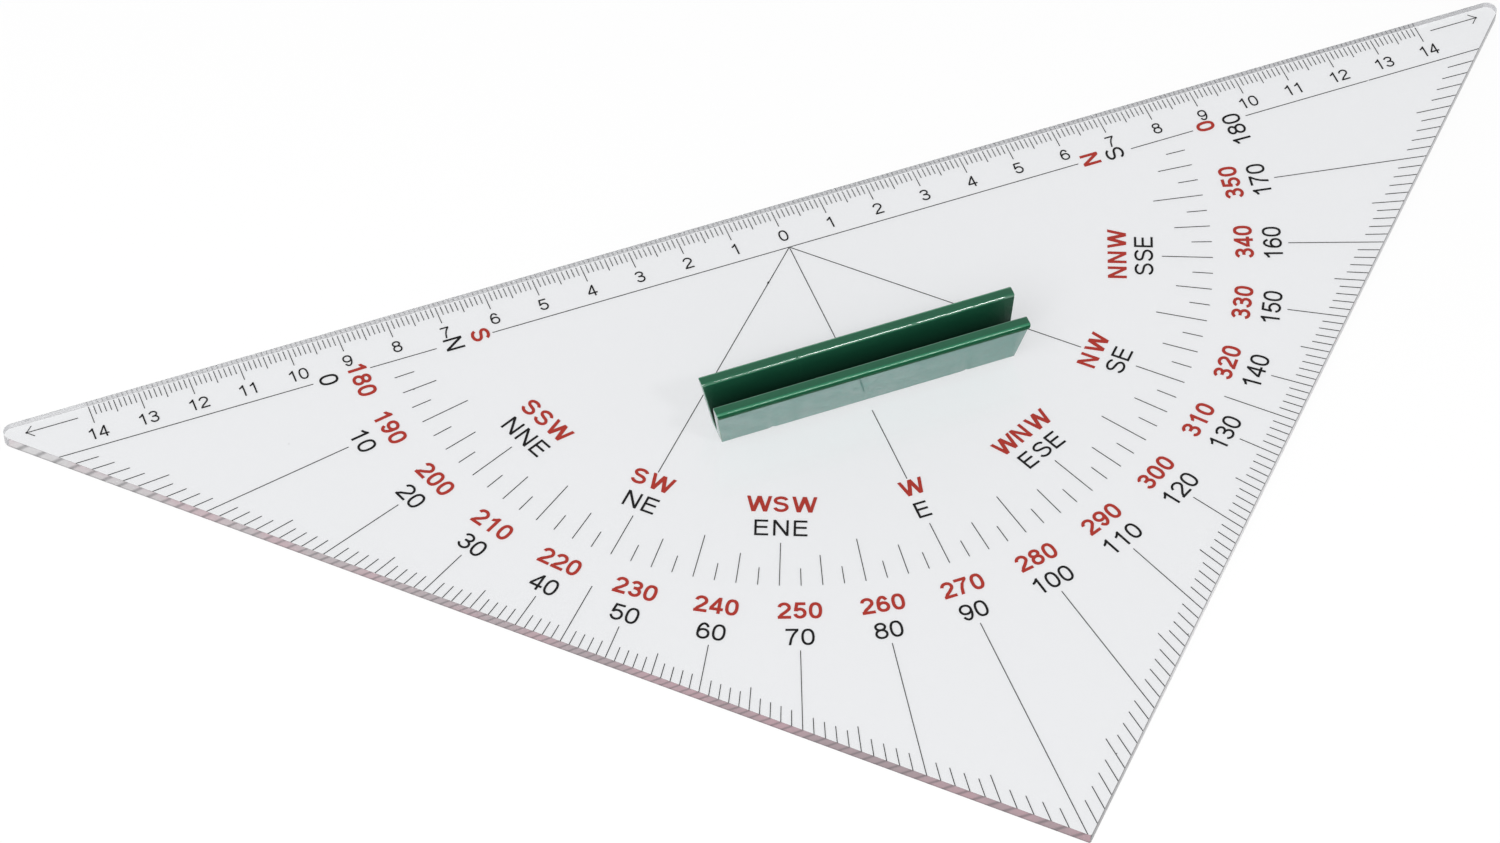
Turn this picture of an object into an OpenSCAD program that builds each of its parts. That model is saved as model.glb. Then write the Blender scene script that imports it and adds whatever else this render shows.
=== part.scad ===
// Triangular navigation protractor: a clear 45-45-90 acrylic triangle, graduated on its
// underside, with a green push-in grip. Millimetres, +Z up, underside on z = 0.
// The print lies in shallow bands sunk in the underside, flush with it, so it isn't scraped.
// The origin is the protractor's centre, where all of its bearing lines meet.
// +X runs along the ruler edge to the 180 degree side, and +Y points at the ruler edge.

/* [Plate] */
// Length of the ruler edge, measured to its sharp corners
edge_len = 320; // [316:1:400]
// Thickness of the acrylic
plate_t = 2.5; // [1.5:0.1:5]
// Distance from the ruler edge in to the base line
base_inset = 10; // [10:0.5:14]
// Radius of the two narrow corners
tip_r = 2; // [0.5:0.1:4]
// Radius of the right-angled corner
apex_r = 0.4; // [0.2:0.1:3]

/* [Print] */
// Thickness of the print, and the depth of the bands that it lies in
ink_t = 0.08; // [0.04:0.01:0.3]
// Bare margin between the print and the sides of its bands
band_margin = 0.4; // [0.2:0.05:0.6]
// Width of every scale line
line_w = 0.16; // [0.1:0.01:0.3]
// Bare rim between a line's end and the edge that it points at
rim = 0.2; // [0.1:0.05:1]
// Pen width of the black lettering, as a share of its height
thin_pen = 0.12; // [0.08:0.01:0.16]
// Pen width of the red lettering, as a share of its height
bold_pen = 0.17; // [0.16:0.01:0.24]

/* [Centimetre scale] */
// Length of a millimetre mark
mm_mark = 2.2; // [1:0.1:3]
// Length of a half centimetre mark
half_mark = 3; // [1.5:0.1:4]
// Length of a centimetre mark
cm_mark = 4.1; // [2:0.1:4.5]
// Height of the centimetre numerals
cm_text = 2.75; // [2:0.05:3]
// Height of those numerals' feet over the base line
cm_text_y = 1.85; // [1.6:0.05:2.2]
// Distance from the last centimetre mark to the arrow beyond it
arrow_gap = 2.6; // [1:0.1:3]
// Length of that arrow
arrow_len = 10.2; // [4:0.1:10.4]
// Length of an arrow's barbs, along the arrow
barb_len = 1.3; // [0.5:0.1:1.6]
// Distance of the arrow from the ruler edge
arrow_inset = 2.1; // [2:0.1:3]

/* [Compass rose] */
// Radius of the outer ends of the compass marks
rose_r = 83; // [76:0.5:86]
// Length of the quarter point marks
quarter_mark = 4; // [2:0.1:5]
// Length of the half point marks
half_point_mark = 7; // [5:0.1:8]
// Length of the whole point marks
point_mark = 10; // [8:0.1:11]
// Height of the compass letters
rose_text = 3.7; // [3:0.05:4]
// Gap between the whole point marks and the black letters
letter_gap = 1.7; // [0.8:0.1:2]
// Gap between the black and the red letters
letter_row_gap = 1.8; // [0.8:0.1:2.5]

/* [Degree scale] */
// Height of the degree numerals
deg_text = 3.75; // [3:0.05:4]
// Gap between the compass marks and the red numerals
numeral_gap = 4; // [2:0.1:5]
// Gap between the red and the black numerals
numeral_row_gap = 2.2; // [0.8:0.1:2.5]
// Gap between the black numerals and the ten degree lines
line_gap = 1.3; // [0.5:0.1:1.5]
// Gap between the base line's broken ends and the lettering
stop_gap = 0.5; // [0.4:0.1:1]
// Depth of the one degree marks, square to the leg
one_mark = 4.2; // [2:0.1:4.5]
// Depth of the five degree marks, square to the leg
five_mark = 5.8; // [4.6:0.1:7]
// Turn of the outermost numerals off the base line, in degrees
end_shift = 1.6; // [1.4:0.05:2]

/* [Grip] */
// Distance of the grip from the protractor's centre
grip_y = 39.4; // [30:0.1:44]
// Length of the grip's foot
grip_len = 60.2; // [50:0.1:73]
// Width of the grip's foot
foot_w = 5.5; // [4.5:0.1:8]
// Height of the grip over the plate
grip_h = 11.5; // [9:0.1:16]
// Thickness of the grip's two walls
wall_t = 2.1; // [1.2:0.1:2.2]
// Thickness of the grip's floor
floor_t = 1.7; // [1.2:0.1:3]
// Outward lean of the walls, in degrees
wall_lean = 11; // [8:0.1:14]
// Outward lean of the ends, in degrees
end_lean = 9.7; // [0:0.1:14]
// Height of the rim bead along the top of the walls
bead_h = 1.6; // [0.8:0.1:2]
// Depth by which the bead stands out
bead_out = 0.4; // [0.2:0.05:0.8]
// Radius of the grip's long edges
edge_r = 0.3; // [0.1:0.05:0.35]
// Diameter of the two pegs under the grip
peg_d = 3; // [2:0.1:4]
// Distance between the two pegs
peg_pitch = 40; // [30:0.5:44]
// Gap left between a peg's end and the plate's underside
peg_short = 0.3; // [0.2:0.05:0.8]
// Clearance between a peg and its hole, on the radius
peg_gap = 0.05; // [0.02:0.01:0.1]
// Bare stretch of the 90 degree line before and behind the grip's foot
foot_clear = 1.7; // [0.5:0.1:3]

/* [Hidden] */

edge_y = base_inset;
// Distance from the origin to each leg, along X or along -Y
leg = edge_len / 2 - edge_y;
// Room kept at each end of the ruler edge for the arrow and the corner
end_room = 17;
// Centimetres marked on each side of zero
cm_count = floor((edge_len / 2 - end_room) / 10);
// Radii of the feet of the letters and numerals, whose heads point at the centre
rose_black_r = rose_r - point_mark - letter_gap;
rose_red_r = rose_black_r - rose_text - letter_row_gap;
deg_red_r = rose_r + numeral_gap + deg_text;
deg_black_r = deg_red_r + numeral_row_gap + deg_text;
// Radii where the base line is broken and where the other lines start
rose_stop_r = rose_red_r - rose_text - stop_gap;
deg_stop_r = deg_red_r - deg_text - stop_gap;
deg_line_r = deg_black_r + line_gap;
half_right_r = deg_red_r + line_gap / 3;
// A leg's distance from a parallel line, seen along X or Y
function aside(d) = d * sqrt(2);
// Cutting shapes run this far past the faces that they open
cut = 0.2;
// Clearance between ink strokes that would otherwise meet
stroke_gap = 0.1;
black = [0.08, 0.08, 0.08];
red = [0.72, 0.2, 0.18];

// A point at a bearing of the protractor: 0 on the left, 90 at the right-angled corner
function polar(r, a) = [-r * cos(a), -r * sin(a)];
// Radius at which a bearing meets a line parallel to its leg, d inside the leg
function leg_r(a, d) = (leg - aside(d)) / (abs(cos(a)) + sin(a));

// A straight stroke from p to q
module stroke(p, q, w = line_w) {
    n = [p.y - q.y, q.x - p.x] * w / 2 / norm(q - p);
    polygon([p + n, q + n, q - n, p - n]);
}

// A radial stroke of the protractor between two radii
module ray(a, r0, r1) {
    stroke(polar(r0, a), polar(r1, a));
}

// Lettering. A glyph is drawn one unit high with a pen of width p, from x = 0, and each of its
// outlines is [outer points, points of its holes].

digit_w = 0.64;
digit_step = 0.78;
arc_steps = 6;

function arc(c, rx, ry, a0, a1, n = arc_steps) =
    [for (i = [0:n]) let(a = a0 + (a1 - a0) * i / n) c + [rx * cos(a), ry * sin(a)]];

function unit(v) = v / norm(v);
function left_of(v) = [-v.y, v.x];

// Offset to one side of an open path, with mitred corners
function side(path, d) = let(n = len(path) - 1)
    [for (i = [0:n]) let(
        u = unit(path[min(i + 1, n)] - path[min(i, n - 1)]),
        v = unit(path[max(i, 1)] - path[max(i, 1) - 1]),
        m = unit(left_of(u) + left_of(v)))
        path[i] + m * d / (m * left_of(u))];

function reversed(list) = [for (i = [len(list) - 1:-1:0]) list[i]];
function ribbon(path, p) = [concat(side(path, p / 2), reversed(side(path, -p / 2))), []];
function oval(c, rx, ry, p, n = 12) = [
    [for (i = [0:n - 1]) c + [(rx + p / 2) * cos(360 * i / n), (ry + p / 2) * sin(360 * i / n)]],
    [[for (i = [0:n - 1]) c + [(rx - p / 2) * cos(360 * i / n), (ry - p / 2) * sin(360 * i / n)]]]];
function turned(outline, w) = [[for (q = outline[0]) [w, 1] - q],
    [for (hole = outline[1]) [for (q = hole) [w, 1] - q]]];

function zero(p) = [oval([digit_w / 2, 0.5], (digit_w - p) / 2, (1 - p) / 2, p)];
function one(p) = [[[[0.38 - p / 2, 0], [0.38 + p / 2, 0], [0.38 + p / 2, 1], [0.38 - p / 3, 1],
    [0.26, 0.86], [0.1, 0.79], [0.1, 0.79 - p], [0.38 - p / 2, 0.84 - p / 2]], []]];
function bar(p) = [[[0, 0], [digit_w, 0], [digit_w, p], [0, p]], []];
function two(p) = let(r = (digit_w - p) / 2) [
    bar(p),
    ribbon(concat(arc([digit_w / 2, 0.71 - p / 8], r, 0.29 - p * 3 / 8, 165, -35), [[p * 0.7, p * 0.7]]), p)];
function three(p) = let(r = (digit_w - p) / 2, m = 0.53) [
    ribbon(arc([digit_w / 2, (1 - p / 2 + m) / 2], r * 0.94, (1 - p / 2 - m) / 2, 160, -100), p),
    ribbon(arc([digit_w / 2, (m + p / 2) / 2], r, (m - p / 2) / 2, 100, -165), p)];
function four(p) = let(x = 0.46, y = 0.27, h = p / 2) [[
    [[x - h, 0], [x + h, 0], [x + h, y - h], [digit_w + 0.02, y - h], [digit_w + 0.02, y + h],
        [x + h, y + h], [x + h, 1], [x - h, 1], [0, y + h], [0, y - h], [x - h, y - h]],
    [[[x - h, y + h], [x - h, 1 - p * 1.7], [p * 1.15, y + h]]]]];
function five(p) = let(r = (digit_w - p) / 2) [
    ribbon([[digit_w - 0.05, 1 - p / 2], [p * 0.95, 1 - p / 2], [p * 0.62, 0.45]], p),
    ribbon(arc([digit_w / 2, 0.33], r, 0.33 - p / 2, 140, -160), p)];
function six(p) = let(r = (digit_w - p) / 2, y = 0.42) [
    oval([digit_w / 2, 0.32], r, 0.32 - p / 2, p),
    ribbon(arc([digit_w / 2, y], r * 0.95, 1 - p / 2 - y, 180, 35), p)];
function seven(p) = [ribbon([[0, 1 - p / 2], [digit_w - p * 0.7, 1 - p / 2], [0.36, 0.5], [0.22, 0]], p)];
function eight(p) = let(m = 0.54) [
    oval([digit_w / 2, (1 - p / 2 + m) / 2], (digit_w - p) / 2.25, (1 - p / 2 - m) / 2, p),
    oval([digit_w / 2, (m + p / 2) / 2], (digit_w - p) / 2, (m - p / 2) / 2, p)];
function nine(p) = [for (o = six(p)) turned(o, digit_w)];
function letter_n(p) = let(w = 0.8) [[[[0, 0], [p, 0], [p, 1 - p * 1.7], [w - p * 1.1, 0], [w, 0], [w, 1],
    [w - p, 1], [w - p, p * 1.7], [p * 1.1, 1], [0, 1]], []]];
function letter_e(p) = let(w = 0.72, m = 0.53) [[[[0, 0], [w, 0], [w, p], [p, p], [p, m - p / 2],
    [w - 0.06, m - p / 2], [w - 0.06, m + p / 2], [p, m + p / 2], [p, 1 - p], [w - 0.02, 1 - p],
    [w - 0.02, 1], [0, 1]], []]];
function letter_s(p) = let(w = 0.78, r = (w - p) / 2, m = 0.52)
    [ribbon(concat(arc([w / 2, (1 - p / 2 + m) / 2], r * 0.94, (1 - p / 2 - m) / 2, 20, 250),
        arc([w / 2, (m + p / 2) / 2], r, (m - p / 2) / 2, 70, -165)), p)];
function letter_w(p) = let(w = 1.28, k = p * 0.62) [[[[0, 1], [p * 1.08, 1], [w * 0.27, p * 2],
    [w / 2 - k, 1], [w / 2 + k, 1], [w * 0.73, p * 2], [w - p * 1.08, 1], [w, 1], [w * 0.73 + k, 0],
    [w * 0.73 - k, 0], [w / 2, 1 - p * 2.2], [w * 0.27 + k, 0], [w * 0.27 - k, 0]], []]];

GLYPHS = "0123456789NESW";
function outlines(i, p) = i == 0 ? zero(p) : i == 1 ? one(p) : i == 2 ? two(p) : i == 3 ? three(p)
    : i == 4 ? four(p) : i == 5 ? five(p) : i == 6 ? six(p) : i == 7 ? seven(p) : i == 8 ? eight(p)
    : i == 9 ? nine(p) : i == 10 ? letter_n(p) : i == 11 ? letter_e(p) : i == 12 ? letter_s(p) : letter_w(p);
steps = concat([for (i = [0:9]) digit_step], [1.04, 0.96, 0.96, 1.35]);
widths = concat([for (i = [0:9]) digit_w], [0.8, 0.72, 0.78, 1.28]);

function index(s, i) = search(s[i], GLYPHS)[0];
// Distance from the start of a string to the start of its glyph number i
function run(s, i) = i == 0 ? 0 : run(s, i - 1) + steps[index(s, i - 1)];
function string_w(s) = run(s, len(s) - 1) + widths[index(s, len(s) - 1)];

// A string of the given height, centred on x = 0, with its feet on y = 0
module label(s, high, p) {
    scale(high)
        for (i = [0:len(s) - 1])
            translate([run(s, i) - string_w(s) / 2, 0])
                for (o = outlines(index(s, i), p))
                    difference() {
                        polygon(o[0]);
                        for (hole = o[1]) polygon(hole);
                    }
}

// A string on a ring, with its feet at radius r and its head towards the centre
module ring_label(s, a, r, high, p) {
    translate(polar(r, a))
        rotate(a - 90)
            label(s, high, p);
}

// The outline with its three rounded corners, or a like outline some way inside it
module outline(inset = 0) {
    tip_x = edge_len / 2 - tip_r * (1 + sqrt(2));
    tip_y = edge_y - tip_r;
    apex_y = -leg + apex_r * sqrt(2);
    tip = tip_r - inset;
    apex = apex_r - inset;
    lean = tip / sqrt(2);
    nose = apex / sqrt(2);
    polygon([[-tip_x, tip_y + tip], [-tip_x - lean, tip_y - lean], [-nose, apex_y - nose],
        [nose, apex_y - nose], [tip_x + lean, tip_y - lean], [tip_x, tip_y + tip]]);
    for (x = [-tip_x, tip_x])
        translate([x, tip_y]) circle(tip, $fn = 64);
    translate([0, apex_y]) circle(apex, $fn = 32);
}

// Ink shapes, drawn flat

module centimetre_marks_2d() {
    for (i = [-10 * cm_count:10 * cm_count]) {
        long = i % 10 == 0 ? cm_mark : i % 5 == 0 ? half_mark : mm_mark;
        stroke([i, edge_y - rim], [i, edge_y - rim - long]);
    }
}

module centimetre_numerals_2d() {
    for (i = [-cm_count:cm_count])
        translate([10 * i, cm_text_y])
            label(str(abs(i)), cm_text, thin_pen);
}

module end_arrows_2d() {
    for (s = [-1, 1]) {
        y = edge_y - arrow_inset;
        tail = [s * (10 * cm_count + arrow_gap), y];
        head = tail + [s * arrow_len, 0];
        stroke(tail, head);
        for (t = [-1, 1])
            stroke(head + [-s * barb_len, t * barb_len], head - [s, -t] * line_w / 4);
    }
}

// The base line, broken where it passes the letters and the numerals
module base_line_2d() {
    inner = rose_r - point_mark;
    for (s = [-1, 1]) {
        stroke([s * inner, 0], [s * deg_stop_r, 0]);
        stroke([s * deg_line_r, 0], [s * (leg - aside(rim)), 0]);
    }
    stroke([-rose_stop_r, 0], [rose_stop_r, 0]);
}

// The 45, 90 and 135 degree lines, from the centre to the compass letters
module bearing_lines_2d() {
    start = line_w / 2 + stroke_gap;
    for (a = [45, 135]) ray(a, start * 2.5, rose_stop_r);
    foot = foot_w / 2 + foot_clear;
    ray(90, start, grip_y - foot);
    ray(90, grip_y + foot, rose_stop_r);
}

// The 32 point compass: marks every point, half point and quarter point
module compass_marks_2d() {
    quarter = 90 / 32;
    for (i = [1:63]) {
        long = i % 4 == 0 ? point_mark : i % 2 == 0 ? half_point_mark : quarter_mark;
        ray(i * quarter, rose_r - long, rose_r);
    }
}

BLACK_POINTS = ["N", "NNE", "NE", "ENE", "E", "ESE", "SE", "SSE", "S"];
RED_POINTS = ["S", "SSW", "SW", "WSW", "W", "WNW", "NW", "NNW", "N"];

module compass_letters_2d(points, r, p) {
    for (i = [0:8])
        ring_label(points[i], 22.5 * i, r, rose_text, p);
}

module degree_marks_2d() {
    for (a = [1:179])
        if (a % 10 != 0 && a != 45 && a != 135)
            ray(a, leg_r(a, a % 5 == 0 ? five_mark : one_mark), leg_r(a, rim));
}

module ten_degree_lines_2d() {
    for (a = [10:10:170]) ray(a, deg_line_r, leg_r(a, a == 90 ? rim + apex_r : rim));
    for (a = [45, 135]) ray(a, half_right_r, leg_r(a, rim));
}

module degree_numerals_black_2d() {
    for (a = [0:10:180])
        ring_label(str(a), a == 180 ? a - end_shift : a, deg_black_r, deg_text, thin_pen);
}

module degree_numerals_red_2d() {
    for (a = [0:10:180])
        ring_label(str((a + 180) % 360), a == 0 ? end_shift : a, deg_red_r, deg_text, bold_pen);
}

// The half ring under the base line between two radii, up to the given height over it
module half_ring(r0, r1, top) {
    difference() {
        circle(r1, $fn = 180);
        circle(r0, $fn = 180);
        translate([-edge_len, top]) square([2 * edge_len, edge_len]);
    }
}

// The bands that are sunk in the underside for the print
module bands_2d() {
    m = band_margin;
    low = cm_text_y - m;
    half = 10 * cm_count + cm_text + m;
    translate([-half, low]) square([2 * half, edge_y - low]);
    reach = 10 * cm_count + arrow_gap + arrow_len + m;
    tall = 2 * (barb_len + m);
    translate([-reach, edge_y - arrow_inset - tall / 2]) square([2 * reach, tall]);
    half_ring(rose_red_r - rose_text - m, rose_r + m, low + cut);
    half_ring(deg_red_r - deg_text - m, deg_black_r + m, low + cut);
    outer = leg;
    inner = leg - aside(five_mark + m);
    polygon([[-outer - m, m], [0, -outer], [outer + m, m], [inner - m, m], [0, -inner], [m - inner, m]]);
    w = line_w + 2 * m;
    stroke([-leg, 0], [leg, 0], w);
    for (a = [45, 90, 135]) stroke(polar(0, a), polar(rose_r, a), w);
    for (a = [10:10:170]) stroke(polar(deg_black_r, a), polar(leg_r(a, one_mark), a), w);
    for (a = [45, 135]) stroke(polar(deg_red_r, a), polar(leg_r(a, one_mark), a), w);
}

// Print fills its band from the underside up
module ink() {
    linear_extrude(ink_t) children();
}

// Clear acrylic triangle, with the sunk bands and the two peg holes
module plate() {
    color([0.9, 0.93, 0.94, 0.35])
        difference() {
            linear_extrude(plate_t) outline();
            translate([0, 0, -cut])
                linear_extrude(cut + ink_t)
                    intersection() {
                        outline(rim / 2);
                        bands_2d();
                    }
            for (x = [-peg_pitch / 2, peg_pitch / 2])
                translate([x, -grip_y, -cut])
                    cylinder(r = peg_d / 2 + peg_gap, h = plate_t + 2 * cut, $fn = 48);
        }
}

module centimetre_marks() { color(black) ink() centimetre_marks_2d(); }
module centimetre_numerals() { color(black) ink() centimetre_numerals_2d(); }
module end_arrows() { color(black) ink() end_arrows_2d(); }
module base_line() { color(black) ink() base_line_2d(); }
module bearing_lines() { color(black) ink() bearing_lines_2d(); }
module compass_marks() { color(black) ink() compass_marks_2d(); }
module compass_letters_black() {
    color(black) ink() compass_letters_2d(BLACK_POINTS, rose_black_r, thin_pen);
}
module compass_letters_red() {
    color(red) ink() compass_letters_2d(RED_POINTS, rose_red_r, bold_pen);
}
module degree_marks() { color(black) ink() degree_marks_2d(); }
module ten_degree_lines() { color(black) ink() ten_degree_lines_2d(); }
module degree_numerals_black() { color(black) ink() degree_numerals_black_2d(); }
module degree_numerals_red() { color(red) ink() degree_numerals_red_2d(); }

// A polygon whose corners are rounded by small arcs of the given radii
function rounded(points, radii, n = 4) = let(last = len(points) - 1)
    [for (i = [0:last]) let(
        a = unit(points[i == 0 ? last : i - 1] - points[i]),
        b = unit(points[i == last ? 0 : i + 1] - points[i]),
        half = acos(a * b) / 2,
        r = radii[i],
        c = points[i] + unit(a + b) * r / sin(half),
        from = points[i] + a * r / tan(half) - c,
        to = points[i] + b * r / tan(half) - c,
        sweep = atan2(from.x * to.y - from.y * to.x, from * to))
        each r == 0 ? [points[i]] : [for (k = [0:n]) let(t = sweep * k / n)
            c + [from.x * cos(t) - from.y * sin(t), from.x * sin(t) + from.y * cos(t)]]];

// Half of the grip's section, from its floor up the outside, over the wall and down inside
function half_section() = let(
    slope = tan(wall_lean),
    foot = foot_w / 2,
    neck = grip_h - bead_h,
    top_out = foot + grip_h * slope + bead_out,
    wall_in = foot - wall_t / cos(wall_lean))
    [[foot, 0], [foot + neck * slope, neck], [foot + neck * slope + bead_out, neck + bead_out / 2],
        [top_out, grip_h], [wall_in + grip_h * slope, grip_h],
        [wall_in + floor_t * slope, floor_t]];

module grip_section() {
    half = half_section();
    radii = [edge_r, 0, edge_r / 2, edge_r, edge_r, edge_r];
    mirrored = [for (q = reversed(half)) [-q.x, q.y]];
    polygon(rounded(concat(half, mirrored), concat(radii, reversed(radii))));
}

// Green moulded grip: a trough with leaning walls and ends, and two pegs that push into the plate
module grip() {
    over = grip_h * tan(end_lean);
    color([0.09, 0.42, 0.28])
        translate([0, -grip_y, plate_t]) {
            intersection() {
                rotate([90, 0, 90])
                    translate([0, 0, -grip_len])
                        linear_extrude(2 * grip_len) grip_section();
                rotate([90, 0, 0])
                    translate([0, 0, -2 * foot_w])
                        linear_extrude(4 * foot_w)
                            polygon([[-grip_len / 2, 0], [grip_len / 2, 0],
                                [grip_len / 2 + over, grip_h], [-grip_len / 2 - over, grip_h]]);
            }
            for (x = [-peg_pitch / 2, peg_pitch / 2])
                translate([x, 0, peg_short - plate_t])
                    cylinder(d = peg_d, h = plate_t - peg_short + floor_t / 2, $fn = 48);
        }
}

plate();
grip();
centimetre_marks();
centimetre_numerals();
end_arrows();
base_line();
bearing_lines();
compass_marks();
compass_letters_black();
compass_letters_red();
degree_marks();
ten_degree_lines();
degree_numerals_black();
degree_numerals_red();
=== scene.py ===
import bmesh
import bpy
import math
import random
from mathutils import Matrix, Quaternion, Vector
from mathutils.geometry import delaunay_2d_cdt, tessellate_polygon


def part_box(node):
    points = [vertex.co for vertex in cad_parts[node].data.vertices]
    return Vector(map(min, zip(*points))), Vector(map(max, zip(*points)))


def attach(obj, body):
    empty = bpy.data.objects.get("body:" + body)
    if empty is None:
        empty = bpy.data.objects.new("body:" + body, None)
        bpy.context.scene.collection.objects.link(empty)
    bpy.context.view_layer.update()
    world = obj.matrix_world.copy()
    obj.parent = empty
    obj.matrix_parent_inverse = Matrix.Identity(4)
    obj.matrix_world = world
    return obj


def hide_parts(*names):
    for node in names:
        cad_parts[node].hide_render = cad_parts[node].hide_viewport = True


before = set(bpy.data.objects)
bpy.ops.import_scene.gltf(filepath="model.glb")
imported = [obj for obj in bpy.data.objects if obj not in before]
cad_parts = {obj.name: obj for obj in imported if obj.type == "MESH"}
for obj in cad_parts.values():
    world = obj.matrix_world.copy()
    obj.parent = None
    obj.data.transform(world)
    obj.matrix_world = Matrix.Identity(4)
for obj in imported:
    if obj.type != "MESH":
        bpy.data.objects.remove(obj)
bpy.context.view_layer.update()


# The studio. The protractor lies on white paper in a room with pale walls and a grey ceiling, lit
# by a wide and a small softbox above the camera, and is seen from in front of its left leg.

mm = 0.001
lens = 130.65  # in mm, as is the sensor's width
sensor = 36
camera_at = Vector((-0.26016, -0.64341, 0.81265))
aim = Vector((-0.02255, -0.03737, 0))
roll = math.radians(0.575)
lamp_away = 2.6
wall_end, ceiling_start = 0.25, 0.6
wall_glow, ceiling_glow = 1.0, 0.2
paper_grey = 0.8
seen_grey, seen_glow = 0.42, 0.62
table_half = 3.0
table_drop = 0.2 * mm
bounces = 40


def add(tree, kind, inputs=(), **settings):
    """Adds a node with its settings. Each input, by name or in order, is given a value or linked:
    to a socket, or to a node, which stands for its first output."""
    made = tree.nodes.new(kind)
    for key, value in settings.items():
        setattr(made, key, value)
    for key, value in inputs.items() if isinstance(inputs, dict) else enumerate(inputs):
        if isinstance(value, bpy.types.Node):
            value = value.outputs[0]
        if isinstance(value, bpy.types.NodeSocket):
            tree.links.new(value, made.inputs[key])
        else:
            made.inputs[key].default_value = value
    return made


def emptied(holder):
    """The node tree of a new material or world, with nothing in it."""
    holder.use_nodes = True
    holder.node_tree.nodes.clear()
    return holder.node_tree


def colour(code):
    """A hex sRGB colour as linear red, green, blue and alpha."""
    parts = [int(code[i:i + 2], 16) / 255 for i in (1, 3, 5)]
    return [c / 12.92 if c <= 0.04045 else ((c + 0.055) / 1.055) ** 2.4 for c in parts] + [1.0]


def softbox(name, size, watts, direction):
    """A square softbox that faces the protractor's middle. The acrylic shows no glare of it."""
    lamp = bpy.data.objects.new(name, bpy.data.lights.new(name, "AREA"))
    bpy.context.scene.collection.objects.link(lamp)
    lamp.data.shape = "SQUARE"
    lamp.data.size = size
    lamp.data.energy = watts
    lamp.location = Vector(direction).normalized() * lamp_away
    lamp.rotation_mode = "QUATERNION"
    lamp.rotation_quaternion = (-lamp.location).to_track_quat("-Z", "Y")
    lamp.visible_transmission = False


camera = bpy.data.objects.new("camera", bpy.data.cameras.new("camera"))
bpy.context.scene.collection.objects.link(camera)
bpy.context.scene.camera = camera
camera.data.lens = lens
camera.data.sensor_width = sensor
camera.location = camera_at
camera.rotation_mode = "QUATERNION"
camera.rotation_quaternion = ((aim - camera_at).to_track_quat("-Z", "Y")
                              @ Quaternion((0, 0, 1), roll))

softbox("wide softbox, front left", 1.7, 45, (-0.5, -0.45, 0.74))
softbox("small softbox, front right", 0.31, 10, (0.28, -0.6, 0.76))

room = bpy.data.worlds.new("pale walls and grey ceiling")
bpy.context.scene.world = room
tree = emptied(room)
direction = add(tree, "ShaderNodeTexCoord").outputs["Generated"]
height = add(tree, "ShaderNodeSeparateXYZ", [direction]).outputs["Z"]
level = add(tree, "ShaderNodeMapRange", {
    "Value": height, "From Min": wall_end, "From Max": ceiling_start,
    "To Min": wall_glow, "To Max": ceiling_glow})
glow = add(tree, "ShaderNodeBackground", {"Color": colour("#ffffff"), "Strength": level})
add(tree, "ShaderNodeOutputWorld", {"Surface": glow})

# Uncoated paper: dull, with a faint tooth. Its fibres are too fine to show, so the tooth is drawn
# as clumps of them. It is as bright as a white page only where it is looked at, not as a light.
clump = 6.7 * mm
paper = bpy.data.materials.new("white paper")
tree = emptied(paper)
path = add(tree, "ShaderNodeLightPath").outputs
eye_or_mirror = add(tree, "ShaderNodeMath", [path["Is Camera Ray"], path["Is Glossy Ray"]],
                    operation="MAXIMUM")
seen = add(tree, "ShaderNodeMath", [eye_or_mirror, path["Is Transmission Ray"]],
           operation="MAXIMUM")
shade = add(tree, "ShaderNodeMix", {"Factor": seen, "A": [paper_grey] * 3 + [1],
                                    "B": [seen_grey] * 3 + [1]}, data_type="RGBA").outputs[2]
where = add(tree, "ShaderNodeTexCoord").outputs["Object"]
fibres = add(tree, "ShaderNodeTexNoise", {"Vector": where, "Scale": 1 / clump, "Detail": 3.0})
tooth = add(tree, "ShaderNodeBump", {"Height": fibres, "Strength": 0.02, "Distance": 0.1 * mm})
page = add(tree, "ShaderNodeBsdfDiffuse", {"Color": shade, "Normal": tooth})
white = add(tree, "ShaderNodeMath", [seen, seen_glow], operation="MULTIPLY")
lift = add(tree, "ShaderNodeEmission", {"Color": colour("#ffffff"), "Strength": white})
add(tree, "ShaderNodeOutputMaterial", {"Surface": add(tree, "ShaderNodeAddShader", [page, lift])})

table = bpy.data.meshes.new("table")
table.from_pydata([(x * table_half, y * table_half, -table_drop)
                   for x, y in ((-1, -1), (1, -1), (1, 1), (-1, 1))], [], [(0, 1, 2, 3)])
table.materials.append(paper)
floor = bpy.data.objects.new("floor", table)
bpy.context.scene.collection.objects.link(floor)
bpy.context.scene.view_settings.view_transform = "Standard"
bpy.context.scene.cycles.max_bounces = bounces
bpy.context.scene.cycles.glossy_bounces = bounces
bpy.context.scene.cycles.transmission_bounces = bounces
bpy.context.scene.cycles.caustics_reflective = False
bpy.context.scene.cycles.caustics_refractive = False


# The sheet. A triangle of clear cast acrylic 2.5 mm thick, polished on its faces and frosted by
# the saw on its square edges. Its two narrow corners are rounded, two holes take the grip's pegs,
# and its underside carries the print.

low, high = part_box("plate")
edge_y = high.y
sheet_top = high.z
sheet_bottom = 0.012 * mm  # the ink starts at 0, so it stands out under the sheet by this much
edge_len = 320 * mm
leg = edge_len / 2 - edge_y
tip_r = 2 * mm
apex_r = 0.4 * mm
tip_x = high.x - tip_r
tip_y = edge_y - tip_r
edge_break = 0.07 * mm
broken_from = math.radians(60)
sharp_from = math.radians(32)
grip_y = -39.4 * mm
peg_x = 20 * mm
hole_r = 1.55 * mm
hole_sides = 48


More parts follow.
